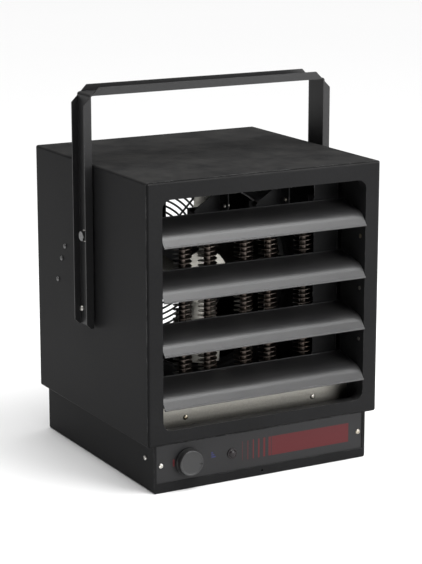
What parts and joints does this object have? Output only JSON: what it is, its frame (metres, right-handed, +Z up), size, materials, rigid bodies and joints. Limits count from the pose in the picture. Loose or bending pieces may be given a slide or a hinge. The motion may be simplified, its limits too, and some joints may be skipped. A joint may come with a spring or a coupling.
{
  "type": "electric unit heater",
  "caption": "Box-shaped electric fan heater on a control base, with tilting louvres in front, finned elements inside and a U-shaped mounting yoke over the casing.",
  "frame": {"origin": "middle of the base's underside, below the yoke's plane", "axes": "+X to the right seen from the front, +Y from the louvres to the rear guard, +Z up"},
  "size_m": [0.3882, 0.3563, 0.53],
  "materials": {
    "case_paint": "fine satin powder coat, dark charcoal",
    "panel_paint": "satin powder coat with printed bands",
    "yoke_paint": "semi-gloss black powder coat",
    "louvre_paint": "satin, bright along the nose",
    "galvanised": "galvanised sheet, dull spangle",
    "zinc_hardware": "bright zinc plate",
    "dark_hardware": "black phosphate",
    "element_steel": "oxidised sheath and fins",
    "bush_brass": "dull machined",
    "fan_aluminium": "mill finish",
    "motor_paint": "grey enamel",
    "shaft_steel": "ground",
    "knob_plastic": "satin moulded black",
    "lamp_lens": "dark glossy dome",
    "device_plastic": "moulded phenolic",
    "capillary_copper": "dull drawn tube",
    "guard_wire": "black coated wire",
    "spacer_plastic": "black nylon"
  },
  "bodies": {
    "housing": {"casing_wrapper": "case_paint", "front_bezel": "case_paint", "louvre_rail_left": "case_paint", "louvre_rail_right": "case_paint", "rail_rivets": "zinc_hardware", "left_liner": "galvanised", "right_liner": "galvanised", "outlet_stay": "galvanised", "element_shelf": "galvanised", "shelf_cover_strip": "galvanised", "strip_screws": "zinc_hardware", "heating_element_1": "element_steel", "heating_element_2": "element_steel", "heating_element_3": "element_steel", "element_bushes": "bush_brass", "element_hanger": "galvanised", "hanger_screws": "zinc_hardware", "fan_bulkhead": "galvanised", "fan_motor": "motor_paint", "motor_bracket": "galvanised", "motor_nuts": "zinc_hardware", "rear_panel": "case_paint", "rear_guard": "guard_wire", "guard_screws": "dark_hardware", "base_tray": "case_paint", "control_panel": "panel_paint", "panel_screws": "zinc_hardware", "base_rear_cover": "case_paint", "cover_screws": "dark_hardware", "thermostat_body": "device_plastic", "sensing_bulb": "capillary_copper", "pilot_lamp": "lamp_lens", "limit_switch": "device_plastic", "contactor": "device_plastic", "terminal_block": "device_plastic", "ground_lug": "bush_brass", "pivot_bolts": "zinc_hardware", "pivot_washers": "zinc_hardware", "pivot_spacers": "spacer_plastic", "pivot_nuts": "zinc_hardware", "case_screws": "dark_hardware"},
    "louvre_body_1": {"louvre_1": "louvre_paint", "louvre_pins_1": "zinc_hardware"},
    "louvre_body_2": {"louvre_2": "louvre_paint", "louvre_pins_2": "zinc_hardware"},
    "louvre_body_3": {"louvre_3": "louvre_paint", "louvre_pins_3": "zinc_hardware"},
    "louvre_body_4": {"louvre_4": "louvre_paint", "louvre_pins_4": "zinc_hardware"},
    "fan": {"fan_hub": "fan_aluminium", "fan_blades": "fan_aluminium", "motor_shaft": "shaft_steel"},
    "knob": {"thermostat_knob": "knob_plastic", "thermostat_shaft": "shaft_steel"},
    "yoke": {"yoke_bracket": "yoke_paint", "lock_screws": "zinc_hardware"}
  },
  "joints": [
    {"name": "yoke_tilt", "type": "hinge", "parent": "housing", "child": "yoke", "pos_m": [0, 0, 0.325], "axis": [1, 0, 0], "range_deg": [-45, 45]},
    {"name": "louvre_1_tilt", "type": "hinge", "parent": "housing", "child": "louvre_body_1", "pos_m": [0, -0.1505, 0.3471], "axis": [1, 0, 0], "range_deg": [-20, 40]},
    {"name": "louvre_2_tilt", "type": "hinge", "parent": "housing", "child": "louvre_body_2", "pos_m": [0, -0.1505, 0.27393], "axis": [1, 0, 0], "range_deg": [-20, 40]},
    {"name": "louvre_3_tilt", "type": "hinge", "parent": "housing", "child": "louvre_body_3", "pos_m": [0, -0.1505, 0.20077], "axis": [1, 0, 0], "range_deg": [-20, 40]},
    {"name": "louvre_4_tilt", "type": "hinge", "parent": "housing", "child": "louvre_body_4", "pos_m": [0, -0.1505, 0.1276], "axis": [1, 0, 0], "range_deg": [-20, 40]},
    {"name": "fan_spin", "type": "hinge", "parent": "housing", "child": "fan", "pos_m": [0, 0.001, 0.2465], "axis": [0, 1, 0], "continuous": true},
    {"name": "knob_turn", "type": "hinge", "parent": "housing", "child": "knob", "pos_m": [-0.115, -0.17, 0.038], "axis": [0, -1, 0], "range_deg": [-50, 250]}
  ]
}
